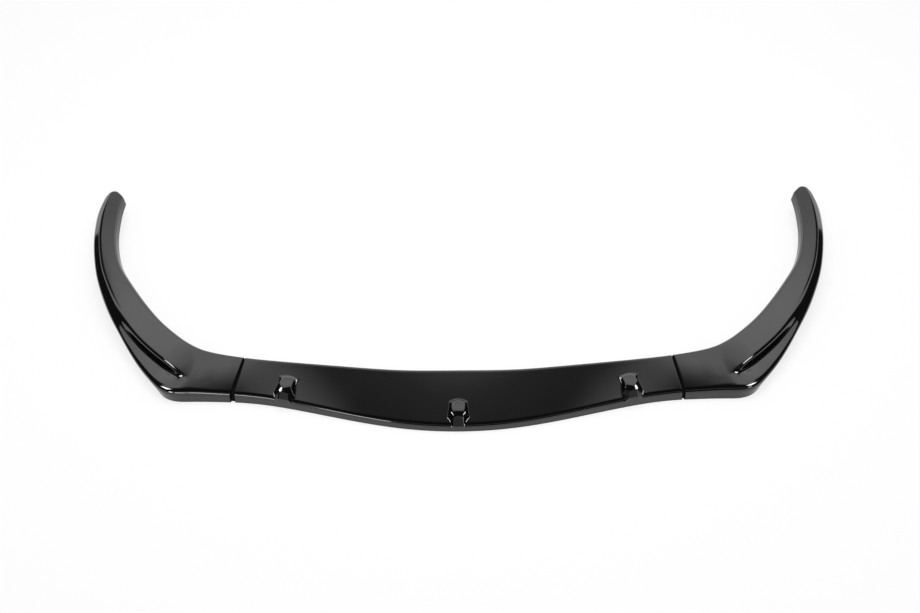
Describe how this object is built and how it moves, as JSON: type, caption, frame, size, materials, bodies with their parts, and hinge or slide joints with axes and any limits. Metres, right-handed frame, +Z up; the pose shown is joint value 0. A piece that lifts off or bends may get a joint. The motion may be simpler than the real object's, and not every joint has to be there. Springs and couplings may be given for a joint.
{
  "type": "front splitter lip",
  "caption": "Gloss black moulded front splitter lip for a car: sloping centre with raised fixing bosses, butted side mouldings with a stepped ledge and arms that sweep back to the wheel arches.",
  "frame": {"origin": "on the ground under the middle of the lip's outline, seen from above", "axes": "+X across the car, +Y to the rear of the car, +Z up; the nose of the lip faces -Y"},
  "size_m": [1.685, 0.672, 0.054],
  "materials": {
    "gloss_black_abs": "polished injection-moulded ABS, black through the wall",
    "black_steel": "black zinc-plated steel"
  },
  "bodies": {
    "root": {"centre_section": "gloss_black_abs", "left_side_section": "gloss_black_abs", "right_side_section": "gloss_black_abs", "seam_screws": "black_steel"}
  },
  "joints": []
}
